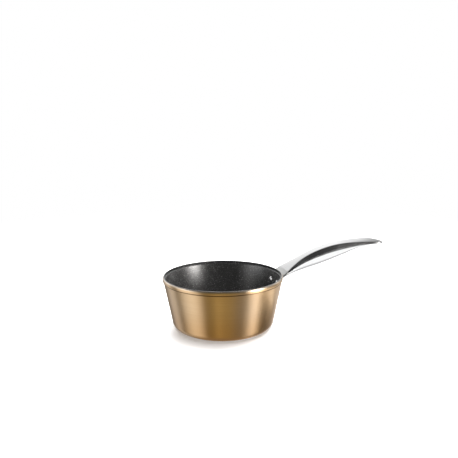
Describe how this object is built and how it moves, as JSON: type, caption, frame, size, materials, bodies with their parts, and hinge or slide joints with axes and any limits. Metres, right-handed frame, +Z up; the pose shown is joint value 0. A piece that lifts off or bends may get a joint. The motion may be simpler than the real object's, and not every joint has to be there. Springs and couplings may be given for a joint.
{
  "type": "saucepan",
  "caption": "Small saucepan: copper-coloured aluminium cup, dark stone-effect non-stick lining, steel base disc for induction hobs, riveted hollow steel handle.",
  "frame": {"origin": "centre of the base disc's underside, on the surface the pan stands on", "axes": "+Z up along the pan's axis; +X along the handle, from the pan to the handle's tip"},
  "size_m": [0.334, 0.166, 0.1077],
  "materials": {
    "copper_lacquer": "metallic copper-gold lacquer, satin gloss",
    "stone_coating": "charcoal non-stick with fine pale speckle",
    "spun_steel": "spun in circles",
    "bracket_steel": "satin",
    "polished_steel": "polished",
    "rivet_steel": "polished"
  },
  "bodies": {
    "root": {"pan_body": "copper_lacquer", "nonstick_lining": "stone_coating", "induction_disc": "spun_steel", "handle_bracket": "bracket_steel", "handle_upper_shell": "polished_steel", "handle_lower_shell": "polished_steel", "rivet_near": "rivet_steel", "rivet_far": "rivet_steel"}
  },
  "joints": []
}
